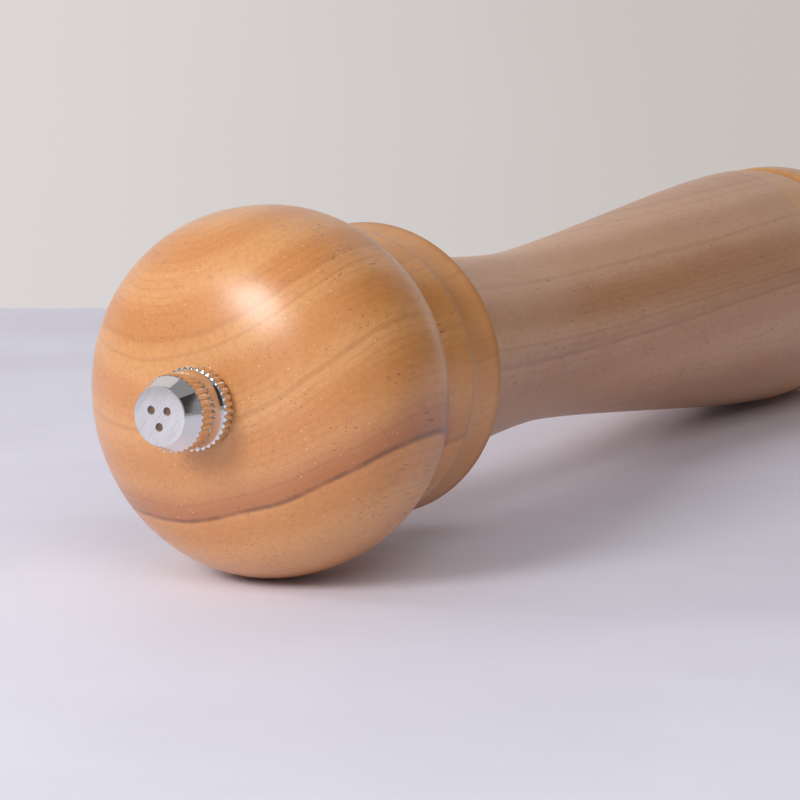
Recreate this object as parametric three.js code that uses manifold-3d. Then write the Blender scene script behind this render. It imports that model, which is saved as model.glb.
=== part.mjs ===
// A turned wooden pepper mill with a ball head, an adjusting nut and a steel burr mechanism.
// Millimetres, +Z up. The origin is the centre of the foot, and the mill's axis is the Z axis.

import * as THREE from 'three';
import { mergeVertices } from 'three/addons/utils/BufferGeometryUtils.js';
import Module from 'manifold-3d';

const wasm = await Module();
wasm.setup();

// ---- Driving dimensions -------------------------------------------------------------------

// Clearances
const GAP = 0.3; // between two pieces that touch or seat on each other
const RUNNING_CLEARANCE = 0.3; // on the radius, between a turning piece and its bore
const BURR_CLEARANCE = 0.32; // on the radius, between the burrs' teeth at the foot of the inner burr
const CORNER_CLEARANCE = 0.5; // on the radius, between the square spindle's corners and what is round it
const CUT_MARGIN = 1; // how far a cutter stands out of the face that it cuts

// Heights of the wooden pieces
const BODY_HEIGHT = 205; // foot to the body's top face
const COLLAR_HEIGHT = 13.3; // the head's ring, from the body's top face to the ball's rear rim
const BALL_REAR_HEIGHT = 7.4; // the ball, from its rear rim to its widest place
const DOME_HEIGHT = 20; // the ball, from its widest place to its top

// Head
const BALL_RADIUS = 28;
const BALL_RIM_INSET = 1.8; // how much narrower the ball's rear rim is
const DOME_FULLNESS = 2.6; // exponent of the dome's outline: 2 is an ellipse, more is squarer
const COLLAR_RADIUS = 23.7; // at the ring's rear edge
const COLLAR_NECK_RADIUS = 22.4; // where the ring meets the ball
const COLLAR_UNDERCUT = 1.2; // the ring's underside starts this far inside its edge
const EDGE = 0.4; // chamfer on the wood's sharp turned edges
const TENON_LENGTH = 8;
const WASHER_RECESS_DEPTH = 1.1;
const HEAD_BORE_ROOM = 2; // above the end of the spindle's square

// Body
const RING_RADIUS = 23.75; // at the ring's lower edge
const RING_TOP_RADIUS = 22.1;
const RING_HEIGHT = 8.75; // from the body's top face down to that edge
const RING_UNDERSIDE = 2.6; // from that edge down to the neck
const NECK_TOP_RADIUS = 18;
const NECK_FLARE = 1; // how much the neck still widens near its top
const WAIST_RADIUS = 15.45;
const WAIST_HEIGHT = 147.5;
const WAIST_HOLD = 0.18; // share of the way down to the belly that keeps close to the waist
const BELLY_HOLD = 0.18; // share of the way up to the waist that keeps close to the belly
const BELLY_RADIUS = 25.9;
const BELLY_HEIGHT = 26;
const GROOVE_RADIUS = 23.6;
const GROOVE_HEIGHT = 18;
const GROOVE_WIDTH = 4.4;
const GROOVE_LEAN = 1; // how much the groove's upper side leans outwards
const BASE_RADIUS = 26;
const BASE_SWELL = 0.5;
const FOOT_RADIUS = 24.9;
const CHAMBER_RADIUS = 11.5;
const MECHANISM_ROOM = 5.4; // free height above the bridge's rivets
const FOOT_RECESS_DEPTH = 5;

// Spindle, plate and washers
const SPINDLE_SIDE = 6;
const SPINDLE_FOOT = 3.2; // height of its lower end
const SPINDLE_END_ROOM = 1.1; // between its upper end and the nut's roof
const THREAD_RADIUS = 2.45;
const THREAD_END_LENGTH = 16.5; // round, threaded end of the spindle
const PLATE_INSET = 1; // how much smaller the drive plate is than the tenon
const PLATE_THICKNESS = 1.5;
const WASHER_THICKNESS = 0.8;
const WASHER_RADIUS = 5;
const THRUST_WASHER_RIM = 2.35; // round the spindle's corners
const THRUST_WASHER_THICKNESS = 1;

// Adjusting nut, heights from its underside
const NUT_HEIGHT = 9.6;
const NUT_BASE_RADIUS = 6.15;
const NUT_BASE_BAND = 1.7;
const NUT_FLARE_TOP = 3.5;
const NUT_FLARE_RADIUS = 5.3;
const NUT_GRIP_RADIUS = 5.6;
const NUT_GRIP_TOP = 6.9;
const NUT_SHOULDER_RADIUS = 5.35;
const NUT_FACE_RADIUS = 4.3;
const NUT_TEETH = 36;
const NUT_TOOTH_DEPTH = 0.4;
const NUT_BEVEL = 0.15;
const NUT_ROOF = 2;
const INSERT_HEIGHT = 1.7;
const INSERT_WALL = 0.95;
const PIT_COUNT = 3;
const PIT_RADIUS = 0.62;
const PIT_CIRCLE_RADIUS = 1.55;
const PIT_DEPTH = 0.35;

// Burrs and housing
const STATOR_FOOT = 3.4;
const STATOR_HEIGHT = 11.5;
const STATOR_WALL = 1.28; // outside the teeth where they are widest
const STATOR_RIM = 1.4; // wall at its open top
const STATOR_FINE_HEIGHT = 4.6; // the fine teeth's zone, which narrows upwards
const STATOR_TAPER = 1.1; // how much it narrows
const STATOR_TEETH = 24;
const ROTOR_FOOT = 5;
const ROTOR_RADIUS = 10.8;
const ROTOR_FINE_HEIGHT = 3.6;
const ROTOR_TAPER = 1;
const ROTOR_HEIGHT = 13.4;
const ROTOR_TOP_RADIUS = 7.2;
const ROTOR_TEETH = 12;
const ROTOR_TWIST = 0.9; // radians that the coarse teeth turn from foot to top
const TOOTH_DEPTH = 0.7;
const HOUSING_WALL = 2.4;
const HOUSING_LEDGE = 0.8; // how far its shoulder reaches over the stator
const HOUSING_TOP = 30;
const FLANGE_THICKNESS = 2;
const FLANGE_RIM = 0.2; // outside the screws' heads
const BRIDGE_WIDTH = 8;
const BRIDGE_THICKNESS = 1.2;
const BRIDGE_EYE_WALL = 2.2; // round the spindle's hole
const CLIP_THICKNESS = 0.8;
const CLIP_WALL = 1.6;
const SPRING_WIRE = 1;
const SPRING_TURNS = 5;

// Fasteners
const PLATE_SCREW = { shank: 1.2, length: 11.5, head: 2.2, headHeight: 1.2 };
const HOUSING_SCREW = { shank: 1, length: 11, head: 1.8, headHeight: 1.2 };
const RIVET = { shank: 0.8, length: 5, head: 1.6, headHeight: 0.8 };
const HOUSING_SCREW_COUNT = 3;
const PLATE_SCREW_COUNT = 2;
const RIVET_COUNT = 2;
const SCREW_WALL = 0.8; // wood between a housing screw's pilot hole and the bore

// Facets
const WOOD_SEGMENTS = 40;
const METAL_SEGMENTS = 24;
const SMALL_SEGMENTS = 12;

// ---- Places that follow from the dimensions -----------------------------------------------

const headFoot = BODY_HEIGHT + GAP;
const ballRim = BODY_HEIGHT + COLLAR_HEIGHT;
const ballRimRadius = BALL_RADIUS - BALL_RIM_INSET;
const equator = ballRim + BALL_REAR_HEIGHT;
const headTop = equator + DOME_HEIGHT;
const tenonFoot = headFoot - TENON_LENGTH;
const tenonRadius = CHAMBER_RADIUS - RUNNING_CLEARANCE;
const squareHole = SPINDLE_SIDE + 2 * GAP;
const spindleCorner = SPINDLE_SIDE / Math.SQRT2;
const cornerBoreRadius = spindleCorner + CORNER_CLEARANCE;
const threadBoreRadius = THREAD_RADIUS + RUNNING_CLEARANCE;
const washerRecessFoot = headTop - WASHER_RECESS_DEPTH;
const washerTop = washerRecessFoot + GAP + WASHER_THICKNESS;
const nutFoot = washerTop + GAP;
const nutTop = nutFoot + NUT_HEIGHT;
const nutBoreTop = nutTop - NUT_ROOF;
const spindleTop = nutBoreTop - SPINDLE_END_ROOM;
const squareTop = spindleTop - THREAD_END_LENGTH;
const headBoreTop = squareTop + HEAD_BORE_ROOM;
const plateRadius = tenonRadius - PLATE_INSET;
const plateTop = tenonFoot - GAP;
const plateFoot = plateTop - PLATE_THICKNESS;
const plateScrewCircle = (cornerBoreRadius + plateRadius) / 2;
const statorTop = STATOR_FOOT + STATOR_HEIGHT;
const statorToothRadius = ROTOR_RADIUS + BURR_CLEARANCE;
const statorOuterRadius = statorToothRadius + STATOR_TAPER + TOOTH_DEPTH + STATOR_WALL;
const statorSeat = statorTop + GAP;
const statorSeatRadius = statorOuterRadius + GAP;
const housingThroatRadius = statorOuterRadius - HOUSING_LEDGE;
const housingRadius = statorSeatRadius + HOUSING_WALL;
const mechanismBoreRadius = housingRadius + GAP;
const housingScrewCircle = mechanismBoreRadius + SCREW_WALL + HOUSING_SCREW.shank + GAP;
const flangeRadius = housingScrewCircle + HOUSING_SCREW.head + FLANGE_RIM;
const flangeTop = FOOT_RECESS_DEPTH - GAP;
const flangeFoot = flangeTop - FLANGE_THICKNESS;
const footRecessRadius = flangeRadius + GAP;
const rotorTop = ROTOR_FOOT + ROTOR_HEIGHT;
const bridgeFoot = HOUSING_TOP + GAP;
const bridgeTop = bridgeFoot + BRIDGE_THICKNESS;
const bridgeEyeRadius = cornerBoreRadius + BRIDGE_EYE_WALL;
const rivetCircle = (housingThroatRadius + housingRadius) / 2;
const mechanismBoreTop = bridgeTop + GAP + RIVET.headHeight + MECHANISM_ROOM;
const thrustWasherTop = HOUSING_TOP - GAP;
const thrustWasherFoot = thrustWasherTop - THRUST_WASHER_THICKNESS;
const thrustWasherRadius = spindleCorner + THRUST_WASHER_RIM;
const springTop = thrustWasherFoot - GAP;
const springFoot = rotorTop + GAP;
const springRadius = cornerBoreRadius + SPRING_WIRE / 2;
const clipTop = ROTOR_FOOT - GAP;
const clipBoreRadius = spindleCorner + GAP;

// ---- Geometry helpers ---------------------------------------------------------------------

// A turned piece from [radius, height] points that run up its outside and down its bore.
function turned(points, segments) {
  const profile = points.map(([radius, height]) => new THREE.Vector2(radius, height));
  return new THREE.LatheGeometry(profile, segments).rotateX(Math.PI / 2);
}

// A turned piece with V-shaped teeth: depthAt says how deep the teeth are at an outline point,
// and twistAt how far they have turned about the axis there.
function turnedWithTeeth(points, teeth, depthAt, twistAt = () => 0) {
  const profile = points.map(([radius, height]) => new THREE.Vector2(radius, height));
  const geometry = new THREE.LatheGeometry(profile, 2 * teeth);
  const position = geometry.attributes.position;
  for (let index = 0; index < position.count; index += 1) {
    const column = Math.floor(index / points.length);
    const [radius, height] = points[index % points.length];
    const cut = column % 2 === 1 ? depthAt(radius, height) : 0;
    const angle = (column * Math.PI) / teeth + twistAt(radius, height);
    position.setX(index, (radius - cut) * Math.sin(angle));
    position.setZ(index, (radius - cut) * Math.cos(angle));
  }
  return geometry.rotateX(Math.PI / 2);
}

function cylinder(radius, foot, top, segments = SMALL_SEGMENTS) {
  const geometry = new THREE.CylinderGeometry(radius, radius, top - foot, segments);
  return geometry.rotateX(Math.PI / 2).translate(0, 0, (foot + top) / 2);
}

function ring(outer, inner, foot, top) {
  const outline = [[inner, foot], [outer, foot], [outer, top], [inner, top], [inner, foot]];
  return turned(outline, METAL_SEGMENTS);
}

function squareBar(side, foot, top) {
  return new THREE.BoxGeometry(side, side, top - foot).translate(0, 0, (foot + top) / 2);
}

function toSolid(geometry) {
  const bare = geometry.clone();
  bare.deleteAttribute('normal');
  bare.deleteAttribute('uv');
  const merged = mergeVertices(bare, 1e-4);
  const vertProperties = Float32Array.from(merged.attributes.position.array);
  const triVerts = Uint32Array.from(merged.index.array);
  return new wasm.Manifold(new wasm.Mesh({ numProp: 3, vertProperties, triVerts }));
}

function toGeometry(solid) {
  const mesh = solid.getMesh();
  const geometry = new THREE.BufferGeometry();
  geometry.setAttribute('position', new THREE.BufferAttribute(mesh.vertProperties, 3));
  geometry.setIndex(new THREE.BufferAttribute(mesh.triVerts, 1));
  geometry.computeVertexNormals();
  return geometry;
}

function cut(geometry, cutters) {
  let solid = toSolid(geometry);
  for (const cutter of cutters) {
    solid = solid.subtract(toSolid(cutter));
  }
  return toGeometry(solid);
}

function join(first, second) {
  return toGeometry(toSolid(first).add(toSolid(second)));
}

// Places evenly spaced on a circle, as [x, y].
function placesOnCircle(count, radius, start = 0) {
  return Array.from({ length: count }, (_, index) => {
    const angle = start + (2 * Math.PI * index) / count;
    return [radius * Math.cos(angle), radius * Math.sin(angle)];
  });
}

function holesAt(places, radius, foot, top) {
  return places.map(([x, y]) => cylinder(radius, foot, top).translate(x, y, 0));
}

// Holes that pass right through a plate between these two heights.
function holesThrough(places, radius, foot, top) {
  return holesAt(places, radius, foot - CUT_MARGIN, top + CUT_MARGIN);
}

const plateScrewPlaces = placesOnCircle(PLATE_SCREW_COUNT, plateScrewCircle);
const housingScrewPlaces = placesOnCircle(HOUSING_SCREW_COUNT, housingScrewCircle);
const rivetPlaces = placesOnCircle(RIVET_COUNT, rivetCircle);

// Points along a curve as [radius, height], without its last one.
function along(curve, steps) {
  return curve.getPoints(steps).slice(0, -1).map((point) => [point.x, point.y]);
}

// ---- Wooden pieces ------------------------------------------------------------------------

// The dome's outline, from the ball's widest place to where it meets the washer's recess.
function domeOutline(recessRadius, steps) {
  const points = [];
  const power = 2 / DOME_FULLNESS;
  const last = Math.acos((recessRadius / BALL_RADIUS) ** (1 / power));
  for (let step = 0; step <= steps; step += 1) {
    const angle = (last * step) / steps;
    const radius = BALL_RADIUS * Math.cos(angle) ** power;
    const height = equator + DOME_HEIGHT * Math.sin(angle) ** power;
    points.push([radius, height]);
  }
  return points;
}

// The ball's rear, an elliptical stretch from its rim to its widest place.
function ballRear(steps) {
  const depth = BALL_REAR_HEIGHT / Math.sqrt(1 - (ballRimRadius / BALL_RADIUS) ** 2);
  const points = [];
  for (let step = 0; step < steps; step += 1) {
    const below = (BALL_REAR_HEIGHT - EDGE) * (1 - step / steps);
    points.push([BALL_RADIUS * Math.sqrt(1 - (below / depth) ** 2), equator - below]);
  }
  return points;
}

function headGeometry() {
  const recessRadius = WASHER_RADIUS + GAP;
  const flankFoot = headFoot + EDGE;
  const flank = new THREE.QuadraticBezierCurve(
    new THREE.Vector2(COLLAR_RADIUS, flankFoot + EDGE),
    new THREE.Vector2(COLLAR_NECK_RADIUS, (flankFoot + ballRim) / 2),
    new THREE.Vector2(COLLAR_NECK_RADIUS, ballRim),
  );
  const outline = [
    [tenonRadius - EDGE, tenonFoot],
    [tenonRadius, tenonFoot + EDGE],
    [tenonRadius, headFoot],
    [COLLAR_RADIUS - COLLAR_UNDERCUT, headFoot],
    [COLLAR_RADIUS - EDGE, flankFoot],
    ...along(flank, 5),
    [COLLAR_NECK_RADIUS, ballRim],
    [ballRimRadius - EDGE, ballRim],
    ...ballRear(3),
    ...domeOutline(recessRadius, 11),
    [recessRadius, washerRecessFoot],
    [threadBoreRadius, washerRecessFoot],
    [threadBoreRadius, headBoreTop],
    [cornerBoreRadius, headBoreTop],
    [cornerBoreRadius, tenonFoot],
    [tenonRadius - EDGE, tenonFoot],
  ];
  const pilotTop = plateTop + PLATE_SCREW.length;
  const pilots = holesAt(plateScrewPlaces, PLATE_SCREW.shank + GAP, tenonFoot - CUT_MARGIN, pilotTop);
  return cut(turned(outline, WOOD_SEGMENTS), pilots);
}

function bodyGeometry() {
  const ringEdge = BODY_HEIGHT - RING_HEIGHT;
  const ringFlank = new THREE.QuadraticBezierCurve(
    new THREE.Vector2(RING_RADIUS, ringEdge + EDGE),
    new THREE.Vector2(RING_TOP_RADIUS, ringEdge + RING_HEIGHT / 2),
    new THREE.Vector2(RING_TOP_RADIUS, BODY_HEIGHT - EDGE),
  );
  const neckTop = ringEdge - RING_UNDERSIDE;
  const underside = new THREE.QuadraticBezierCurve(
    new THREE.Vector2(NECK_TOP_RADIUS, neckTop),
    new THREE.Vector2(NECK_TOP_RADIUS + EDGE, ringEdge - EDGE),
    new THREE.Vector2(RING_RADIUS - EDGE, ringEdge),
  );
  const upperNeck = new THREE.CubicBezierCurve(
    new THREE.Vector2(WAIST_RADIUS, WAIST_HEIGHT),
    new THREE.Vector2(WAIST_RADIUS, WAIST_HEIGHT + (neckTop - WAIST_HEIGHT) / 3),
    new THREE.Vector2(NECK_TOP_RADIUS - NECK_FLARE, neckTop - (neckTop - WAIST_HEIGHT) / 3),
    new THREE.Vector2(NECK_TOP_RADIUS, neckTop),
  );
  const drop = WAIST_HEIGHT - BELLY_HEIGHT;
  const lowerNeck = new THREE.CubicBezierCurve(
    new THREE.Vector2(BELLY_RADIUS, BELLY_HEIGHT),
    new THREE.Vector2(BELLY_RADIUS, BELLY_HEIGHT + BELLY_HOLD * drop),
    new THREE.Vector2(WAIST_RADIUS, WAIST_HEIGHT - WAIST_HOLD * drop),
    new THREE.Vector2(WAIST_RADIUS, WAIST_HEIGHT),
  );
  const grooveTop = GROOVE_HEIGHT + GROOVE_WIDTH / 2;
  const grooveFoot = GROOVE_HEIGHT - GROOVE_WIDTH / 2;
  const shoulder = new THREE.QuadraticBezierCurve(
    new THREE.Vector2(GROOVE_RADIUS + GROOVE_LEAN, grooveTop),
    new THREE.Vector2(BELLY_RADIUS, grooveTop + EDGE),
    new THREE.Vector2(BELLY_RADIUS, BELLY_HEIGHT),
  );
  const cove = new THREE.QuadraticBezierCurve(
    new THREE.Vector2(BASE_RADIUS - EDGE, grooveFoot),
    new THREE.Vector2(GROOVE_RADIUS - GROOVE_LEAN, GROOVE_HEIGHT),
    new THREE.Vector2(GROOVE_RADIUS + GROOVE_LEAN, grooveTop),
  );
  const base = new THREE.QuadraticBezierCurve(
    new THREE.Vector2(FOOT_RADIUS + EDGE, EDGE),
    new THREE.Vector2(BASE_RADIUS + BASE_SWELL, grooveFoot / 2),
    new THREE.Vector2(BASE_RADIUS, grooveFoot - EDGE),
  );
  const outline = [
    [footRecessRadius, 0],
    [FOOT_RADIUS, 0],
    ...along(base, 4),
    [BASE_RADIUS, grooveFoot - EDGE],
    ...along(cove, 5),
    ...along(shoulder, 3),
    ...along(lowerNeck, 10),
    ...along(upperNeck, 4),
    ...along(underside, 3),
    [RING_RADIUS - EDGE, ringEdge],
    ...along(ringFlank, 4),
    [RING_TOP_RADIUS, BODY_HEIGHT - EDGE],
    [RING_TOP_RADIUS - EDGE, BODY_HEIGHT],
    [CHAMBER_RADIUS + EDGE, BODY_HEIGHT],
    [CHAMBER_RADIUS, BODY_HEIGHT - EDGE],
    [CHAMBER_RADIUS, mechanismBoreTop],
    [mechanismBoreRadius, mechanismBoreTop],
    [mechanismBoreRadius, FOOT_RECESS_DEPTH],
    [footRecessRadius, FOOT_RECESS_DEPTH],
    [footRecessRadius, 0],
  ];
  const pilotFoot = FOOT_RECESS_DEPTH - CUT_MARGIN;
  const pilotTop = flangeFoot + HOUSING_SCREW.length;
  const pilots = holesAt(housingScrewPlaces, HOUSING_SCREW.shank + GAP, pilotFoot, pilotTop);
  return cut(turned(outline, WOOD_SEGMENTS), pilots);
}

// ---- Adjusting nut ------------------------------------------------------------------------

function nutGeometry() {
  const insertRadius = threadBoreRadius + INSERT_WALL + GAP;
  const insertSeat = nutFoot + INSERT_HEIGHT + 2 * GAP;
  const up = (height) => nutFoot + height;
  const outline = [
    [insertRadius, nutFoot],
    [NUT_BASE_RADIUS - NUT_TOOTH_DEPTH, nutFoot],
    [NUT_BASE_RADIUS, up(NUT_TOOTH_DEPTH / 2)],
    [NUT_BASE_RADIUS, up(NUT_BASE_BAND)],
    [NUT_BASE_RADIUS - NUT_TOOTH_DEPTH, up(NUT_BASE_BAND + NUT_BEVEL)],
    [NUT_FLARE_RADIUS, up(NUT_FLARE_TOP)],
    [NUT_GRIP_RADIUS, up(NUT_FLARE_TOP + NUT_BEVEL)],
    [NUT_GRIP_RADIUS, up(NUT_GRIP_TOP - NUT_BEVEL)],
    [NUT_SHOULDER_RADIUS, up(NUT_GRIP_TOP)],
    [NUT_FACE_RADIUS, nutTop - NUT_BEVEL],
    [NUT_FACE_RADIUS - NUT_BEVEL, nutTop],
    [0, nutTop],
    [0, nutBoreTop],
    [threadBoreRadius, nutBoreTop],
    [threadBoreRadius, insertSeat],
    [insertRadius, insertSeat],
    [insertRadius, nutFoot],
  ];
  const inBaseBand = (height) => height > nutFoot && height < up(NUT_BASE_BAND + NUT_BEVEL / 2);
  const inGrip = (height) => height > up(NUT_FLARE_TOP) && height < up(NUT_GRIP_TOP);
  const depthAt = (radius, height) => {
    const isOutside = radius > insertRadius + NUT_TOOTH_DEPTH;
    return isOutside && (inBaseBand(height) || inGrip(height)) ? NUT_TOOTH_DEPTH : 0;
  };
  const nut = turnedWithTeeth(outline, NUT_TEETH, depthAt);
  const pits = placesOnCircle(PIT_COUNT, PIT_CIRCLE_RADIUS, Math.PI / 2);
  return cut(nut, holesAt(pits, PIT_RADIUS, nutTop - PIT_DEPTH, nutTop + CUT_MARGIN));
}

// ---- Mechanism ----------------------------------------------------------------------------

function spindleGeometry() {
  const square = squareBar(SPINDLE_SIDE, SPINDLE_FOOT, squareTop);
  return join(square, cylinder(THREAD_RADIUS, squareTop - CUT_MARGIN, spindleTop, METAL_SEGMENTS));
}

function squareHoledDisc(radius, foot, top) {
  const hole = squareBar(squareHole, foot - CUT_MARGIN, top + CUT_MARGIN);
  return cut(cylinder(radius, foot, top, METAL_SEGMENTS), [hole]);
}

function drivePlateGeometry() {
  const holes = holesThrough(plateScrewPlaces, PLATE_SCREW.shank + GAP, plateFoot, plateTop);
  return cut(squareHoledDisc(plateRadius, plateFoot, plateTop), holes);
}

// A pan-headed screw or rivet. `seat` is the face under its head, and `up` is the way that its
// shank points, 1 or -1.
function fastenerGeometry(size, seat, up) {
  const gap = -up * GAP;
  const outline = [
    [0, -size.headHeight],
    [size.head - size.headHeight / 2, -size.headHeight],
    [size.head, -size.headHeight / 2],
    [size.head, 0],
    [size.shank, 0],
    [size.shank, size.length - size.shank],
    [size.shank / 3, size.length],
    [0, size.length],
  ];
  const geometry = turned(outline, SMALL_SEGMENTS);
  if (up < 0) {
    geometry.rotateX(Math.PI);
  }
  return geometry.translate(0, 0, seat + gap);
}

function rotorGeometry() {
  const fineTop = ROTOR_FOOT + ROTOR_FINE_HEIGHT;
  const fineTopRadius = ROTOR_RADIUS - ROTOR_TAPER;
  const steps = 6;
  const cone = [];
  for (let step = 1; step <= steps; step += 1) {
    const share = step / steps;
    const radius = fineTopRadius + (ROTOR_TOP_RADIUS - fineTopRadius) * share;
    cone.push([radius, fineTop + (rotorTop - fineTop) * share]);
  }
  const outline = [
    [0, ROTOR_FOOT],
    [ROTOR_RADIUS, ROTOR_FOOT],
    [fineTopRadius, fineTop],
    ...cone,
    [0, rotorTop],
  ];
  const coarseShare = (height) => Math.max(0, (height - fineTop) / (rotorTop - fineTop));
  const depthAt = (radius, height) => (radius > 0 ? TOOTH_DEPTH * (1 + coarseShare(height)) : 0);
  const twistAt = (radius, height) => ROTOR_TWIST * ((height - ROTOR_FOOT) / ROTOR_HEIGHT);
  const burr = turnedWithTeeth(outline, ROTOR_TEETH, depthAt, twistAt);
  return cut(burr, [squareBar(squareHole, ROTOR_FOOT - CUT_MARGIN, rotorTop + CUT_MARGIN)]);
}

function statorGeometry() {
  const neck = STATOR_FOOT + STATOR_FINE_HEIGHT;
  const belowRotor = ROTOR_FOOT - STATOR_FOOT;
  const footRadius = statorToothRadius + (STATOR_TAPER * belowRotor) / STATOR_FINE_HEIGHT;
  const outline = [
    [footRadius, STATOR_FOOT],
    [statorOuterRadius, STATOR_FOOT],
    [statorOuterRadius, statorTop],
    [statorOuterRadius - STATOR_RIM, statorTop],
    [footRadius - STATOR_TAPER, neck],
    [footRadius, STATOR_FOOT],
  ];
  const depthAt = (radius) => (radius < statorOuterRadius ? -TOOTH_DEPTH : 0);
  return turnedWithTeeth(outline, STATOR_TEETH, depthAt);
}

function housingGeometry() {
  const outline = [
    [statorSeatRadius, flangeFoot],
    [flangeRadius, flangeFoot],
    [flangeRadius, flangeTop],
    [housingRadius, flangeTop],
    [housingRadius, HOUSING_TOP],
    [housingThroatRadius, HOUSING_TOP],
    [housingThroatRadius, statorSeat],
    [statorSeatRadius, statorSeat],
    [statorSeatRadius, flangeFoot],
  ];
  const rivetFoot = bridgeTop - RIVET.length;
  return cut(turned(outline, METAL_SEGMENTS), [
    ...holesThrough(housingScrewPlaces, HOUSING_SCREW.shank + GAP, flangeFoot, flangeTop),
    ...holesAt(rivetPlaces, RIVET.shank + GAP, rivetFoot - GAP, HOUSING_TOP + CUT_MARGIN),
  ]);
}

// A strip across the housing with a round eye for the spindle and ends that follow the rim.
function bridgeGeometry() {
  const endAngle = Math.asin(BRIDGE_WIDTH / 2 / housingRadius);
  const shape = new THREE.Shape();
  shape.absarc(0, 0, housingRadius, -endAngle, endAngle, false);
  shape.absarc(0, 0, housingRadius, Math.PI - endAngle, Math.PI + endAngle, false);
  const settings = { depth: BRIDGE_THICKNESS, bevelEnabled: false, curveSegments: 6 };
  const arms = new THREE.ExtrudeGeometry(shape, settings).translate(0, 0, bridgeFoot);
  const eye = cylinder(bridgeEyeRadius, bridgeFoot, bridgeTop, METAL_SEGMENTS);
  const eyeHole = cylinder(
    cornerBoreRadius,
    bridgeFoot - CUT_MARGIN,
    bridgeTop + CUT_MARGIN,
    METAL_SEGMENTS,
  );
  const rivetHoles = holesThrough(rivetPlaces, RIVET.shank + GAP, bridgeFoot, bridgeTop);
  return cut(join(arms, eye), [eyeHole, ...rivetHoles]);
}

// The spring's centre line: a helix about the mill's axis.
class SpringHelix extends THREE.Curve {
  getPoint(share, target = new THREE.Vector3()) {
    const angle = 2 * Math.PI * SPRING_TURNS * share;
    const foot = springFoot + SPRING_WIRE / 2;
    const height = springTop - springFoot - SPRING_WIRE;
    const x = springRadius * Math.cos(angle);
    const y = springRadius * Math.sin(angle);
    return target.set(x, y, foot + height * share);
  }
}

function springGeometry() {
  const section = new THREE.Shape();
  section.absarc(0, 0, SPRING_WIRE / 2, 0, 2 * Math.PI, false);
  const settings = {
    steps: 12 * SPRING_TURNS,
    curveSegments: 3,
    bevelEnabled: false,
    extrudePath: new SpringHelix(),
  };
  return new THREE.ExtrudeGeometry(section, settings);
}

function clipGeometry() {
  return ring(clipBoreRadius + CLIP_WALL, clipBoreRadius, clipTop - CLIP_THICKNESS, clipTop);
}

// ---- Materials and assembly ---------------------------------------------------------------

const finish = (color, roughness, metalness) =>
  new THREE.MeshStandardMaterial({ color, roughness, metalness });

const headWood = finish(0xd99a66, 0.35, 0);
const bodyWood = finish(0xc08f6a, 0.38, 0);
const chrome = finish(0xd8d8dc, 0.12, 1);
const aluminium = finish(0xb9bcc0, 0.4, 1);
const steel = finish(0xa6a8ab, 0.35, 1);
const burrSteel = finish(0x6b6c70, 0.45, 1);
const nylon = finish(0xe8e6df, 0.6, 0);
const blackNylon = finish(0x26272a, 0.55, 0);

const mill = new THREE.Group();

function addPiece(name, geometry, material, [x, y] = [0, 0]) {
  const mesh = new THREE.Mesh(geometry, material);
  mesh.name = name;
  mesh.position.set(x, y, 0);
  mill.add(mesh);
}

function addFasteners(name, size, seat, up, places) {
  places.forEach((place, index) => {
    addPiece(`${name}_${index + 1}`, fastenerGeometry(size, seat, up), steel, place);
  });
}

addPiece('body', bodyGeometry(), bodyWood);
addPiece('head_knob', headGeometry(), headWood);
addPiece('adjusting_nut', nutGeometry(), chrome);
addPiece(
  'nut_insert',
  ring(threadBoreRadius + INSERT_WALL, threadBoreRadius, nutFoot + GAP, nutFoot + GAP + INSERT_HEIGHT),
  nylon,
);
addPiece(
  'nut_washer',
  ring(WASHER_RADIUS, threadBoreRadius, washerTop - WASHER_THICKNESS, washerTop),
  steel,
);
addPiece('drive_plate', drivePlateGeometry(), steel);
addFasteners('drive_plate_screw', PLATE_SCREW, plateFoot, 1, plateScrewPlaces);
addPiece('spindle', spindleGeometry(), aluminium);
addPiece('upper_bridge', bridgeGeometry(), steel);
addFasteners('bridge_rivet', RIVET, bridgeTop, -1, rivetPlaces);
addPiece(
  'thrust_washer',
  squareHoledDisc(thrustWasherRadius, thrustWasherFoot, thrustWasherTop),
  steel,
);
addPiece('spring', springGeometry(), steel);
addPiece('rotor_burr', rotorGeometry(), burrSteel);
addPiece('rotor_clip', clipGeometry(), steel);
addPiece('stator_burr', statorGeometry(), burrSteel);
addPiece('burr_housing', housingGeometry(), blackNylon);
addFasteners('housing_screw', HOUSING_SCREW, flangeFoot, 1, housingScrewPlaces);

export default mill;
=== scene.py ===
"""A wooden pepper mill lying on its side: turned head, waisted body and knurled adjusting nut."""

import logging
import math
from dataclasses import dataclass, field
from enum import Enum
from typing import Any, Callable

import bmesh
import bpy
from mathutils import Matrix, Vector


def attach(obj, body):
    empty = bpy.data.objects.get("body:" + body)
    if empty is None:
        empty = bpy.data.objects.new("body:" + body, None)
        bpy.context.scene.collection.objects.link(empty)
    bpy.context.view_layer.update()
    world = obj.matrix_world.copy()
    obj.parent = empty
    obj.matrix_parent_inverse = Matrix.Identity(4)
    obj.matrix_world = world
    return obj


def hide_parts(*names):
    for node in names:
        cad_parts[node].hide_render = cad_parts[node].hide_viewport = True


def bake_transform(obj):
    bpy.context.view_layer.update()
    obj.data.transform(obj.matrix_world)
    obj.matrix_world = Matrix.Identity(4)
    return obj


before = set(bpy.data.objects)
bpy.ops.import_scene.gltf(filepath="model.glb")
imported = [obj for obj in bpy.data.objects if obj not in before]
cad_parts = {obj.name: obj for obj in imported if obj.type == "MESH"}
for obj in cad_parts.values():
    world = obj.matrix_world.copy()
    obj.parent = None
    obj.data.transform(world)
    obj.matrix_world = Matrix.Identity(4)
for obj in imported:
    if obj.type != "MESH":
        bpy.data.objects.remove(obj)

log = logging.getLogger("pepper_mill")
MM = 0.001
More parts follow.
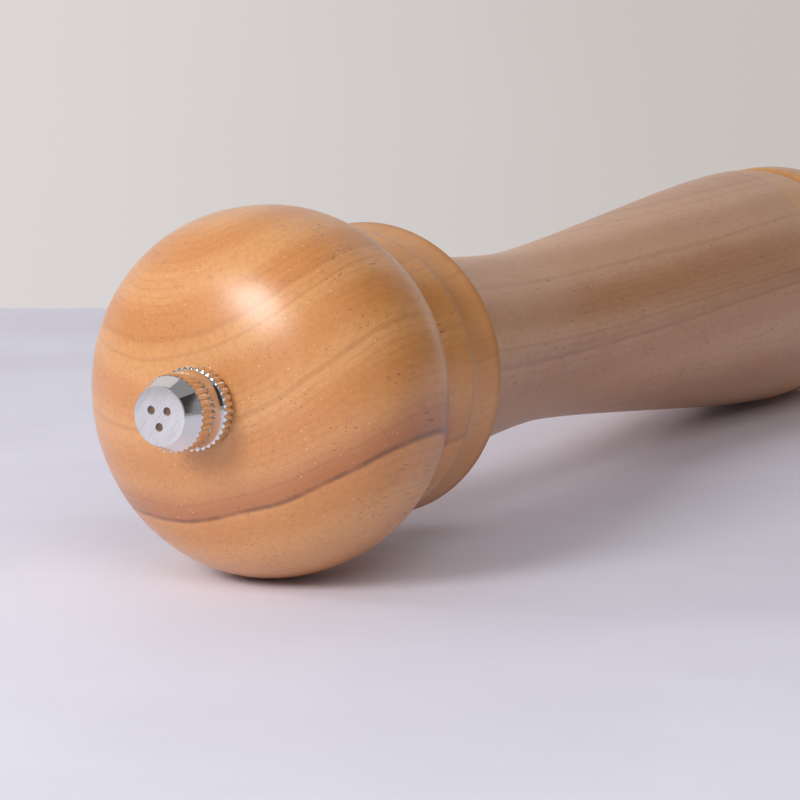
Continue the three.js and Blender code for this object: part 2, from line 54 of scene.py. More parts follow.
Point = tuple[float, float]
Outline = list[Point]
Colour = tuple[float, float, float]
Stretch = tuple[float, float, float]


class Body(Enum):
    """The moving groups that a piece can ride on."""

    MILL = "mill_body"
    HEAD = "head"
    NUT = "nut"


class Slot(Enum):
    """The finishes that a scene may repaint."""

    HEAD_WOOD = "head_wood"
    BODY_WOOD = "body_wood"
    CHROME = "nut_chrome"


# ---------------------------------------------------------------- shader helpers


class Sock:
    """A shader socket that can be added, subtracted and multiplied like a number."""

    def __init__(self, graph: "Graph", socket: Any) -> None:
        """Keeps the socket and the graph it belongs to."""
        self.graph = graph
        self.socket = socket

    def _math(self, operation: str, *values: Any) -> "Sock":
        """One Math node with these inputs."""
        return self.graph.node("ShaderNodeMath", {"operation": operation}, dict(enumerate(values)))

    def __add__(self, other: Any) -> "Sock":
        """Sum."""
        return self._math("ADD", self, other)

    __radd__ = __add__

    def __sub__(self, other: Any) -> "Sock":
        """Difference."""
        return self._math("SUBTRACT", self, other)

    def __rsub__(self, other: Any) -> "Sock":
        """Difference, the other way round."""
        return self._math("SUBTRACT", other, self)

    def __mul__(self, other: Any) -> "Sock":
        """Product."""
        return self._math("MULTIPLY", self, other)

    def sine(self) -> "Sock":
        """Sine."""
        return self._math("SINE", self)

    def root(self) -> "Sock":
        """Square root."""
        return self._math("SQRT", self)

    def ramp(self, low: float, high: float, start: float = 0.0, end: float = 1.0) -> "Sock":
        """Goes smoothly from start to end as the value goes from low to high.

        Args:
            low: The value where the change begins.
            high: The value where it ends.
            start: The result below low.
            end: The result above high.

        Returns:
            The mapped value.
        """
        settings = {"interpolation_type": "SMOOTHSTEP", "clamp": True}
        return self.graph.node("ShaderNodeMapRange", settings, {0: self, 1: low, 2: high, 3: start, 4: end})

    def band(self, middle: float, width: float) -> "Sock":
        """One at the middle value, falling smoothly to nothing a width away on both sides."""
        return self.ramp(middle - width, middle) * self.ramp(middle, middle + width, 1.0, 0.0)


class Graph:
    """The node tree of one new material."""

    def __init__(self, name: str) -> None:
        """Makes an empty material with a Principled surface."""
        self.material = bpy.data.materials.new(name)
        self.material.use_nodes = True
        self.tree = self.material.node_tree
        self.shader = self.tree.nodes["Principled BSDF"]

    def node(self, kind: str, settings: dict[str, Any], inputs: dict[Any, Any], out: Any = 0) -> Sock:
        """One node.

        Args:
            kind: The node's type.
            settings: Its attributes.
            inputs: Values or sockets by input name or number.
            out: Which output to return.

        Returns:
            The chosen output.
        """
        made = self.tree.nodes.new(kind)
        for key, value in settings.items():
            setattr(made, key, value)
        for key, value in inputs.items():
            self.feed(made.inputs[key], value)
        return Sock(self, made.outputs[out])

    def feed(self, target: Any, value: Any) -> None:
        """Links a socket to an input, or sets the input to a plain value."""
        if isinstance(value, Sock):
            self.tree.links.new(value.socket, target)
        elif isinstance(value, tuple) and target.type == "RGBA":
            target.default_value = (*value, 1.0)
        else:
            target.default_value = value

    def set(self, **inputs: Any) -> None:
        """Feeds the Principled surface; an underscore stands for a space."""
        for key, value in inputs.items():
            self.feed(self.shader.inputs[key.replace("_", " ")], value)

    def place(self) -> Sock:
        """Object coordinates."""
        return self.node("ShaderNodeTexCoord", {}, {}, "Object")

    def split(self, vector: Sock) -> tuple[Sock, Sock, Sock]:
        """The three parts of a vector."""
        x = self.node("ShaderNodeSeparateXYZ", {}, {0: vector})
        return x, Sock(self, x.socket.node.outputs[1]), Sock(self, x.socket.node.outputs[2])

    def scaled(self, vector: Sock, scale: Stretch) -> Sock:
        """The vector stretched by a scale on each axis."""
        return self.node("ShaderNodeVectorMath", {"operation": "MULTIPLY"}, {0: vector, 1: scale})

    def noise(self, vector: Sock, scale: float, detail: float = 3.0, rough: float = 0.5) -> Sock:
        """Cloudy noise between nought and one."""
        inputs = {"Vector": vector, "Scale": scale, "Detail": detail, "Roughness": rough}
        return self.node("ShaderNodeTexNoise", {}, inputs)

    def streaks(self, vector: Sock, stretch: Stretch, detail: float = 3.0, rough: float = 0.5) -> Sock:
        """Noise with its own scale on each axis, so that it runs in streaks."""
        return self.noise(self.scaled(vector, stretch), 1.0, detail, rough)

    def specks(self, vector: Sock, stretch: Stretch) -> Sock:
        """Distance to the nearest of many scattered points, with its own scale on each axis."""
        inputs = {"Vector": self.scaled(vector, stretch), "Scale": 1.0}
        return self.node("ShaderNodeTexVoronoi", {}, inputs, "Distance")

    def mix(self, factor: Any, a: Any, b: Any) -> Sock:
        """Two colours mixed."""
        return self.node("ShaderNodeMix", {"data_type": "RGBA"}, {0: factor, 6: a, 7: b}, 2)

    def bump(self, height: Sock, distance: float, strength: float, before: Sock | None = None) -> Sock:
        """A bumped normal from a height, on top of another if one is given."""
        inputs: dict[Any, Any] = {"Height": height, "Distance": distance, "Strength": strength}
        if before:
            inputs["Normal"] = before
        return self.node("ShaderNodeBump", {}, inputs)


def shaded(colour: Colour, share: Colour, lift: float = 0.0) -> Colour:
    """A colour with each part multiplied by its share and then lifted."""
    return tuple(part * k + lift for part, k in zip(colour, share))


# ---------------------------------------------------------------- finishes


@dataclass(frozen=True)
class VarnishedWood:
    """Satin-varnished hardwood whose growth rings run round a pith beside the turning axis."""

    name: str
    light: Colour
    middle: Colour
    dark: Colour
    line: Colour
    pith: Point = (0.0107, -0.0412)
    wander: float = 0.0022
    fine_rings: float = 5200.0
    coarse_rings: float = 1330.0
    broad_rings: float = 620.0
    band_radius: float = 0.0590
    band_width: float = 0.0072
    band_strength: float = 0.9
    inner_lines: tuple[tuple[float, float, float], ...] = (
        (0.0024, 0.0003, 0.30), (0.0135, 0.0007, 0.30), (0.0240, 0.0005, 0.22), (0.0267, 0.0008, 0.26))
    # Colour of the painted highlight specks: pale dots that stand in for tiny glints of light on the varnish.
    painted_glint: Colour = (1.0, 0.90, 0.76)
    tint_edge: float = 0.0008
    roughness: float = 0.44
    coat: float = 0.75
    # Height, width and amount of each painted shade line: a dark band where shade falls in a groove or step.
    shade_heights: tuple[tuple[float, float, float], ...] = ()
    tints: tuple[tuple[float, float, float, Colour, float], ...] = ()

    def build(self) -> bpy.types.Material:
        """Builds the material.

        Returns:
            The wood's material.
        """
        g = Graph(self.name)
        place = g.place()
        x, y, z = g.split(place)
        wander = g.streaks(place, (60.0, 60.0, 14.0), 2.0)
        dx, dy = x - self.pith[0], y - self.pith[1]
        ring = (dx * dx + dy * dy).root() + (wander - 0.5) * self.wander
        fine = (ring * self.fine_rings + wander * 3.0).sine() * 0.5 + 0.5
        patch = g.streaks(place, (75.0, 75.0, 30.0), 2.0)
        pores = g.specks(place, (1500.0, 1500.0, 140.0)).ramp(0.08, 0.22, 1.0, 0.0)
        pores = pores * g.streaks(place, (260.0, 260.0, 110.0), 1.0).ramp(0.46, 0.62)
        base = self.growth(g, place, ring, fine, patch)
        base = self.banded(g, place, ring, base)
        base = self.flecked(g, place, pores, base)
        base = self.tints_and_painted_shade(g, x, z, patch, base)
        grain = g.streaks(place, (900.0, 900.0, 60.0), 4.0, 0.65)
        normal = g.bump(grain * 0.35 - pores * 0.9 + fine * 0.12, 0.00006, 0.55)
        normal = g.bump(g.streaks(place, (70.0, 70.0, 120.0), 1.0), 0.0004, 0.22, normal)
        worn = g.noise(place, 190.0, 4.0, 0.6)
        rough = worn.ramp(0.3, 0.7, self.roughness - 0.05, self.roughness + 0.07)
        g.set(Base_Color=base, Roughness=rough, Normal=normal)
        g.set(Coat_Weight=self.coat, Coat_Roughness=0.28, Coat_IOR=1.6, IOR=1.47)
        return g.material

    def growth(self, g: Graph, place: Sock, ring: Sock, fine: Sock, patch: Sock) -> Sock:
        """The colours of the growth rings, from broad to fine.

        Args:
            g: The material's graph.
            place: Object coordinates.
            ring: Distance from the pith.
            fine: The fine rings, from nought to one.
            patch: Where the rings show more.

        Returns:
            The colour.
        """
        cloud = g.streaks(place, (40.0, 40.0, 22.0))
        broad = (ring * self.broad_rings + cloud * 3.0).sine() * 0.5 + 0.5
        coarse = (ring * self.coarse_rings).sine() * 0.5 + 0.5
        base = g.mix((cloud * 0.6 + broad * 0.4).ramp(0.3, 0.72), self.light, self.middle)
        base = g.mix(coarse.ramp(0.45, 1.0, 0.0, 0.30) * patch.ramp(0.35, 0.6, 0.2, 1.0), base, self.middle)
        return g.mix(fine.ramp(0.72, 1.0, 0.0, 0.16) * patch.ramp(0.4, 0.65), base, self.dark)

    def banded(self, g: Graph, place: Sock, ring: Sock, base: Sock) -> Sock:
        """Lays the reddish band, the dark line at its edge and the thin inner lines over the wood.

        Args:
            g: The material's graph.
            place: Object coordinates.
            ring: Distance from the pith.
            base: The colour so far.

        Returns:
            The colour.
        """
        edge = self.band_radius
        red = ring.ramp(edge - self.band_width, edge - 0.0004)
        red = red * ring.ramp(edge - 0.0001, edge + 0.0006, 1.0, 0.0)
        base = g.mix(red * 0.8 * self.band_strength, base, self.dark)
        streak = g.streaks(place, (420.0, 420.0, 90.0), 3.0, 0.6)
        line = ring.band(edge, 0.00055) * streak.ramp(0.3, 0.6, 0.45, 1.0)
        base = g.mix(line * 0.72 * self.band_strength, base, self.line)
        for inward, width, amount in self.inner_lines:
            base = g.mix(ring.band(edge - inward, width) * amount, base, self.dark)
        return base

    def flecked(self, g: Graph, place: Sock, pores: Sock, base: Sock) -> Sock:
        """Lays the mottle, the dark pores and the painted highlight specks over the wood.

        Args:
            g: The material's graph.
            place: Object coordinates.
            pores: One inside a pore, nought beside it.
            base: The colour so far.

        Returns:
            The colour.
        """
        mottle = g.streaks(place, (1500.0, 1500.0, 500.0), 3.0, 0.6)
        base = g.mix(mottle.ramp(0.42, 0.72, 0.0, 0.22), base, self.dark)
        base = g.mix(pores * 0.62, base, self.line)
        # Painted highlight: pale specks that stand in for tiny glints of light off the varnish.
        painted_glints = g.specks(place, (1100.0, 1100.0, 1100.0)).ramp(0.07, 0.15, 1.0, 0.0)
        scattered = g.noise(place, 330.0, 1.0).ramp(0.50, 0.60)
        return g.mix(painted_glints * scattered * 0.45, base, self.painted_glint)

    def tints_and_painted_shade(self, g: Graph, x: Sock, z: Sock, patch: Sock, base: Sock) -> Sock:
        """Lays the tinted stretches, and the painted shade lines at the grooves and steps, over the wood, by
        height.

        Args:
            g: The material's graph.
            x: The sideways coordinate.
            z: The height.
            patch: Where a tint is stronger.
            base: The colour so far.

        Returns:
            The colour.
        """
        soft = self.tint_edge
        for low, high, amount, colour, slant in self.tints:
            level = z + x * slant
            inside = level.ramp(low - soft, low + soft) * level.ramp(high - soft, high + soft, 1.0, 0.0)
            base = g.mix(inside * patch.ramp(0.2, 0.8, amount * 0.75, amount), base, colour)
        # Painted shade: dark bands in the line colour where shade falls in the grooves and steps.
        for height, width, amount in self.shade_heights:
            base = g.mix(z.band(height, width) * amount, base, self.line)
        return base


@dataclass(frozen=True)
class Metal:
    """A metal surface, polished, brushed or rough."""

    name: str
    colour: Colour
    roughness: float
    scratch: float = 0.3
    stretch: Stretch = (400.0, 400.0, 400.0)
    grit: float = 0.0
    dirt: float = 0.12
    tarnish: Colour = (0.45, 0.43, 0.41)

    def build(self) -> bpy.types.Material:
        """Builds the material.

        Returns:
            The metal's material.
        """
        g = Graph(self.name)
        place = g.place()
        lines = g.streaks(place, self.stretch, 4.0, 0.7)
        smudge = g.noise(place, 160.0, 3.0, 0.6)
        dulled = smudge.ramp(0.42, 0.75, 0.0, self.dirt) + lines.ramp(0.55, 0.9, 0.0, self.scratch * 0.3)
        base = g.mix(dulled, self.colour, shaded(self.colour, self.tarnish))
        rough = smudge.ramp(0.3, 0.75, self.roughness * 0.8, self.roughness * 1.35)
        rough = rough + lines.ramp(0.5, 0.8, 0.0, self.scratch * 0.12)
        normal = g.bump(lines, 0.00002, self.scratch)
        if self.grit:
            normal = g.bump(g.noise(place, 1800.0, 3.0, 0.7), 0.0001, self.grit, normal)
        g.set(Base_Color=base, Metallic=1.0, Roughness=rough, Normal=normal)
        return g.material


@dataclass(frozen=True)
class Nylon:
    """Moulded nylon with a fine grain and faint rubbing."""

    name: str
    colour: Colour
    rubbed: Colour = (1.5, 1.5, 1.5)

    def build(self) -> bpy.types.Material:
        """Builds the material.

        Returns:
            The nylon's material.
        """
        g = Graph(self.name)
        place = g.place()
        grain = g.noise(place, 1500.0, 3.0, 0.6)
        rub = g.noise(place, 120.0, 4.0, 0.6)
        lighter = shaded(self.colour, self.rubbed, 0.02)
        g.set(Base_Color=g.mix(rub.ramp(0.45, 0.75, 0.0, 0.5), self.colour, lighter))
        g.set(Roughness=rub.ramp(0.3, 0.7, 0.42, 0.58), Normal=g.bump(grain, 0.00005, 0.4))
        return g.material


@dataclass(frozen=True)
class Wall:
    """A pale wall whose colour is a painted glow: it gives off light though it is no lamp, brighter at one
    end as painted falloff of light, and is only there from its front.
    """

    name: str = "pale_wall"
    bright: Colour = (0.690, 0.650, 0.645)
    dim: Colour = (0.555, 0.515, 0.495)
    paint: Colour = (0.02, 0.02, 0.02)
    fade: float = 0.14

    def build(self) -> bpy.types.Material:
        """Builds the material.

        Returns:
            The wall's material.
        """
        g = Graph(self.name)
        place = g.place()
        across = g.split(place)[0]
        haze = g.noise(place, 9.0, 2.0)
        # Painted light: the wall glows with a tone that fades from the bright end to the dim end.
        painted_glow = g.mix((across + (haze - 0.5) * 0.05).ramp(-self.fade, self.fade), self.bright, self.dim)
        g.set(Base_Color=self.paint, Emission_Color=painted_glow, Emission_Strength=1.0)
        g.set(Roughness=haze.ramp(0.3, 0.7, 0.8, 0.9))
        one_sided(g)
        return g.material


@dataclass(frozen=True)
class ShadeCard:
    """A dark sheet beside the mill, put there as painted shade: it stands in for the shaded side of the room,
    darkening that side of the mill and its reflections, and is only there from its front.
    """

    name: str = "dark_shade_card"
    colour: Colour = (0.020, 0.018, 0.018)
    thread: Colour = (0.035, 0.032, 0.030)

    def build(self) -> bpy.types.Material:
        """Builds the material.

        Returns:
            The cloth's material.
        """
        g = Graph(self.name)
        weave = g.noise(g.place(), 700.0, 3.0, 0.6)
        g.set(Base_Color=g.mix(weave, self.colour, self.thread), Roughness=weave.ramp(0.3, 0.7, 0.85, 0.95))
        g.set(Normal=g.bump(weave, 0.0002, 0.4))
        one_sided(g)
        return g.material


def one_sided(g: Graph) -> None:
    """Makes a finished material clear when it is seen from behind."""
    back = g.node("ShaderNodeNewGeometry", {}, {}, "Backfacing")
    clear = g.node("ShaderNodeBsdfTransparent", {}, {})
    seen = g.node("ShaderNodeMixShader", {}, {0: back, 1: Sock(g, g.shader.outputs[0]), 2: clear})
    g.tree.links.new(seen.socket, g.tree.nodes["Material Output"].inputs["Surface"])


@dataclass(frozen=True)
class Table:
    """A pale, faintly mottled table top that is only there from its front."""

    name: str = "pale_table"
    colour: Colour = (0.80, 0.81, 0.93)
    mottled: Colour = (0.94, 0.93, 0.94)

    def build(self) -> bpy.types.Material:
        """Builds the material.

        Returns:
            The table's material.
        """
        g = Graph(self.name)
        place = g.place()
        mottle = g.noise(place, 14.0, 4.0, 0.6)
        fibre = g.noise(place, 900.0, 3.0, 0.6)
        dim = shaded(self.colour, self.mottled)
        g.set(Base_Color=g.mix(mottle.ramp(0.35, 0.7), self.colour, dim))
        g.set(Roughness=mottle.ramp(0.3, 0.7, 0.55, 0.7), Normal=g.bump(fibre, 0.00008, 0.3))
        one_sided(g)
        return g.material


# ---------------------------------------------------------------- outlines


def along(curve: Callable[[float], Point], steps: int) -> Outline:
    """Points along a curve, with both ends."""
    return [curve(i / steps) for i in range(steps + 1)]


def quad(a: Point, b: Point, c: Point, steps: int) -> Outline:
    """A three-point curve from a to c that leans towards b."""
    def at(t: float) -> Point:
        """The curve's point at t."""
        u = 1 - t
        return tuple(u * u * p + 2 * u * t * q + t * t * r for p, q, r in zip(a, b, c))
    return along(at, steps)


def cubic(a: Point, b: Point, c: Point, d: Point, steps: int) -> Outline:
    """A four-point curve from a to d that leans towards b and then c."""
    def at(t: float) -> Point:
        """The curve's point at t."""
        u = 1 - t
        shares = (u**3, 3 * u * u * t, 3 * u * t * t, t**3)
        return tuple(sum(k * v for k, v in zip(shares, parts)) for parts in zip(a, b, c, d))
    return along(at, steps)


# ---------------------------------------------------------------- modelling


class Lathe:
    """Turns outlines into round pieces, as a woodturner would."""

    @staticmethod
    def turn(name: str, outline: Outline, sides: int, angle: float = 32.0) -> bpy.types.Object:
        """Turns a closed outline round the upright axis.

        Args:
            name: The piece's name.
            outline: Radius and height in millimetres, in order; the last point joins the first.
            sides: How many facets go round.
            angle: Edges sharper than this stay crisp, in degrees.

        Returns:
            The turned piece, at the origin.
        """
        bpy.ops.object.select_all(action="DESELECT")
        radius, height = outline[0]
        bpy.ops.mesh.primitive_circle_add(vertices=sides, radius=radius * MM, location=(0, 0, height * MM))
        piece = bpy.context.object
        piece.name = piece.data.name = name
        bpy.ops.object.transform_apply(location=True, rotation=True, scale=True)
        bpy.ops.object.mode_set(mode="EDIT")
        bpy.ops.mesh.select_all(action="SELECT")
        for (r0, z0), (r1, z1) in zip(outline, outline[1:] + outline[:1]):
            bpy.ops.mesh.extrude_edges_move()
            if z1 != z0:
                bpy.ops.transform.translate(value=(0, 0, (z1 - z0) * MM))
            if r1 != r0:
                k = r1 / r0
                bpy.ops.transform.resize(value=(k, k, 1), center_override=(0, 0, z1 * MM))
        bpy.ops.mesh.select_all(action="SELECT")
        bpy.ops.mesh.remove_doubles(threshold=0.000002)
        bpy.ops.mesh.normals_make_consistent(inside=False)
        bpy.ops.object.mode_set(mode="OBJECT")
        bpy.ops.object.shade_smooth_by_angle(angle=math.radians(angle))
        return piece

    @staticmethod
    def pick(piece: bpy.types.Object, wanted: Callable[[Vector], bool]) -> int:
        """In edit mode, selects the vertices that pass a test, and says how many."""
        mesh = bmesh.from_edit_mesh(piece.data)
        count = 0
        for vert in mesh.verts:
            vert.select = bool(wanted(vert.co))
            count += vert.select
        mesh.select_flush_mode()
        bmesh.update_edit_mesh(piece.data)
        return count


class Cutter:
    """Cuts holes with short-lived tool shapes."""

    @staticmethod
    def cut(piece: bpy.types.Object, tools: list[bpy.types.Object]) -> None:
        """Takes the tools' shapes out of the piece and removes them."""
        for tool in tools:
            bpy.ops.object.select_all(action="DESELECT")
            bpy.context.view_layer.objects.active = piece
            piece.select_set(True)
            made = piece.modifiers.new("cut", "BOOLEAN")
            made.operation, made.object, made.solver = "DIFFERENCE", tool, "EXACT"
            bpy.ops.object.modifier_apply(modifier=made.name)
            bpy.data.objects.remove(tool, do_unlink=True)

    @staticmethod
    def drill(radius: float, middle: Point, foot: float, depth: float, sides: int = 28) -> bpy.types.Object:
        """An upright cylinder for cutting, by its middle seen from above and the height of its foot."""
        bpy.ops.object.select_all(action="DESELECT")
        bpy.ops.mesh.primitive_cylinder_add(
            vertices=sides, radius=radius * MM, depth=depth * MM,
            location=(middle[0] * MM, middle[1] * MM, (foot + depth / 2) * MM))
        return bpy.context.object


def finish_piece(piece: bpy.types.Object, material: bpy.types.Material, body: Body, slot: Slot,
                 *nodes: str) -> None:
    """Dresses a piece, puts it on its moving group and hides the nodes it stands for.

    Args:
        piece: The piece.
        material: Its finish.
        body: The group it moves with.
        slot: The finish a scene may repaint; not used.
        nodes: The nodes it stands for.
    """
    if piece.data.materials:
        piece.data.materials[0] = material
    else:
        piece.data.materials.append(material)
    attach(piece, body.value)
    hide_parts(*nodes)
    log.info("%s: %d faces on %s", piece.name, len(piece.data.polygons), body.value)


# ---------------------------------------------------------------- the mill


@dataclass
class MillHead:
    """The turned head: a short collar under a ball, with a tenon below."""

    foot: float = 205.3
    tenon_foot: float = 197.3
    tenon_radius: float = 11.2
    collar_radius: float = 23.7
    collar_neck: float = 22.4
    rim_height: float = 218.3
    rim_radius: float = 26.2
    equator: float = 225.7
    ball_radius: float = 28.0
    rear_height: float = 7.4
    dome_height: float = 20.0
    fullness: float = 2.6
    rear_steps: int = 11
    dome_steps: int = 45
    recess_foot: float = 244.6
    recess_radius: float = 5.3
    bore_radius: float = 4.75
    wood: VarnishedWood = field(default_factory=lambda: VarnishedWood("head_varnished_wood",
        (0.71, 0.338, 0.120), (0.63, 0.258, 0.072), (0.38, 0.112, 0.032), (0.100, 0.032, 0.012),
        shade_heights=((0.2055, 0.0012, 0.30),), tints=((0.2048, 0.2100, 0.45, (0.66, 0.300, 0.085), 0.0),)))

    def outline(self) -> Outline:
        """The head's outline from the bore's foot outwards, up and back down.

        Returns:
            Radius and height of each point.
        """
        depth = self.rear_height / math.sqrt(1 - (self.rim_radius / self.ball_radius) ** 2)
        bore, tenon, collar = self.bore_radius, self.tenon_radius, self.collar_radius
        points: Outline = [(bore, self.tenon_foot + 0.4), (bore + 0.4, self.tenon_foot)]
        points += [(tenon - 0.5, self.tenon_foot), (tenon, self.tenon_foot + 0.5)]
        points += [(tenon, self.foot + 1.1), (self.collar_neck - 1.2, self.foot + 1.1)]
        points += [(self.collar_neck - 0.9, self.foot + 0.15), (collar - 0.5, self.foot + 0.05)]
        points += [(collar - 0.14, self.foot + 0.18), (collar - 0.02, self.foot + 0.5)]
        middle = (self.foot + 0.4 + self.rim_height) / 2
        points += quad((collar, self.foot + 0.8), (self.collar_neck, middle),
                       (self.collar_neck, self.rim_height - 0.3), 12)
        points += [(self.collar_neck + 0.12, self.rim_height), (self.rim_radius - 0.35, self.rim_height)]
        low = math.asin(self.rear_height / depth)
        for i in range(self.rear_steps):
            turn = low * (1 - (i + 0.6) / (self.rear_steps - 0.4))
            points.append((self.ball_radius * math.cos(turn), self.equator - depth * math.sin(turn)))
        power = 2 / self.fullness
        for i in range(1, self.dome_steps):
            turn = math.pi / 2 * i / self.dome_steps
            radius = self.ball_radius * math.cos(turn) ** power
            if radius < self.recess_radius + 0.4:
                break
            points.append((radius, self.equator + self.dome_height * math.sin(turn) ** power))
        top = self.equator + self.dome_height
        points += [(self.recess_radius + 0.3, top - 0.03), (self.recess_radius, top - 0.25)]
        points += [(self.recess_radius, self.recess_foot), (bore, self.recess_foot)]
        return points

    def build(self) -> None:
        """Turns the head and dresses it."""
        head = Lathe.turn("turned_head", self.outline(), 192)
        finish_piece(head, self.wood.build(), Body.HEAD, Slot.HEAD_WOOD, "head_knob")


@dataclass
class MillBody:
    """The turned body: foot, cove, belly, waist, neck and the ring under the head."""

    height: float = 205.0
    chamber_radius: float = 11.5
    ring_radius: float = 23.75
    ring_top_radius: float = 22.1
    ring_edge: float = 196.25
    neck_top: float = 193.65
    neck_radius: float = 18.0
    waist_radius: float = 15.45
    waist_height: float = 147.5
    belly_radius: float = 25.9
    belly_height: float = 26.0
    hold: float = 0.18
    shoulder_lean: float = 20.6
    cove_top: Point = (24.6, 20.2)
    cove_lean: Point = (22.6, 18.0)
    cove_foot: Point = (25.6, 15.8)
    base_edge: Point = (25.92, 15.65)
    base_top: Point = (26.0, 15.4)
    base_lean: Point = (26.5, 7.9)
    base_foot: Point = (25.3, 0.4)
    foot_edge: Point = (25.2, 0.12)
    foot_ring: Point = (24.9, 0.003)
    burr_bore: float = 17.2
    burr_bore_top: float = 38.0
    recess_radius: float = 21.6
    recess_depth: float = 5.0
    wood: VarnishedWood = field(default_factory=lambda: VarnishedWood("body_varnished_wood",
        (0.62, 0.322, 0.162), (0.54, 0.254, 0.116), (0.32, 0.110, 0.038), (0.095, 0.030, 0.012),
        pith=(0.014, -0.050), band_strength=0.28, roughness=0.46, coat=0.6,
        shade_heights=((0.1962, 0.0018, 0.38), (0.0175, 0.0024, 0.30)),
        tints=((0.1960, 0.2060, 0.55, (0.66, 0.290, 0.075), 0.0),
               (-0.02, 0.0315, 0.65, (0.68, 0.310, 0.070), 0.58))))

    def outline(self) -> Outline:
        """The body's outline from the chamber's top outwards, down and back up the bore.

        Returns:
            Radius and height of each point.
        """
        edge, neck = self.ring_edge, self.neck_radius
        points: Outline = [(self.chamber_radius, self.height - 0.4), (self.chamber_radius + 0.4, self.height)]
        points += [(self.ring_top_radius - 0.4, self.height), (self.ring_top_radius - 0.1, self.height - 0.1)]
        points += quad((self.ring_top_radius, self.height - 0.4), (self.ring_top_radius, edge + 4.375),
                       (self.ring_radius, edge + 0.4), 12)
        points += [(self.ring_radius - 0.1, edge + 0.1)]
        points += quad((self.ring_radius - 0.4, edge), (neck + 0.4, self.neck_top + 2.2),
                       (neck, self.neck_top), 10)
        reach = self.waist_height - self.belly_height
        third = (self.neck_top - self.waist_height) / 3
        waist, belly = (self.waist_radius, self.waist_height), (self.belly_radius, self.belly_height)
        points += cubic((neck, self.neck_top), (neck - 1.0, self.neck_top - third),
                        (self.waist_radius, self.waist_height + third), waist, 22)[1:]
        points += cubic(waist, (self.waist_radius, self.waist_height - self.hold * reach),
                        (self.belly_radius, self.belly_height + self.hold * reach), belly, 48)[1:]
        points += quad(belly, (self.belly_radius, self.shoulder_lean), self.cove_top, 10)[1:]
        points += quad(self.cove_top, self.cove_lean, self.cove_foot, 12)[1:]
        points += [self.base_edge] + quad(self.base_top, self.base_lean, self.base_foot, 12)
        points += [self.foot_edge, self.foot_ring]
        points += [(self.recess_radius + 0.4, self.foot_ring[1]), (self.recess_radius, 0.4)]
        points += [(self.recess_radius, self.recess_depth), (self.burr_bore, self.recess_depth)]
        points += [(self.burr_bore, self.burr_bore_top), (self.chamber_radius, self.burr_bore_top)]
        return points

    def build(self) -> None:
        """Turns the body and dresses it."""
        body = Lathe.turn("turned_body", self.outline(), 176)
        finish_piece(body, self.wood.build(), Body.MILL, Slot.BODY_WOOD, "body")


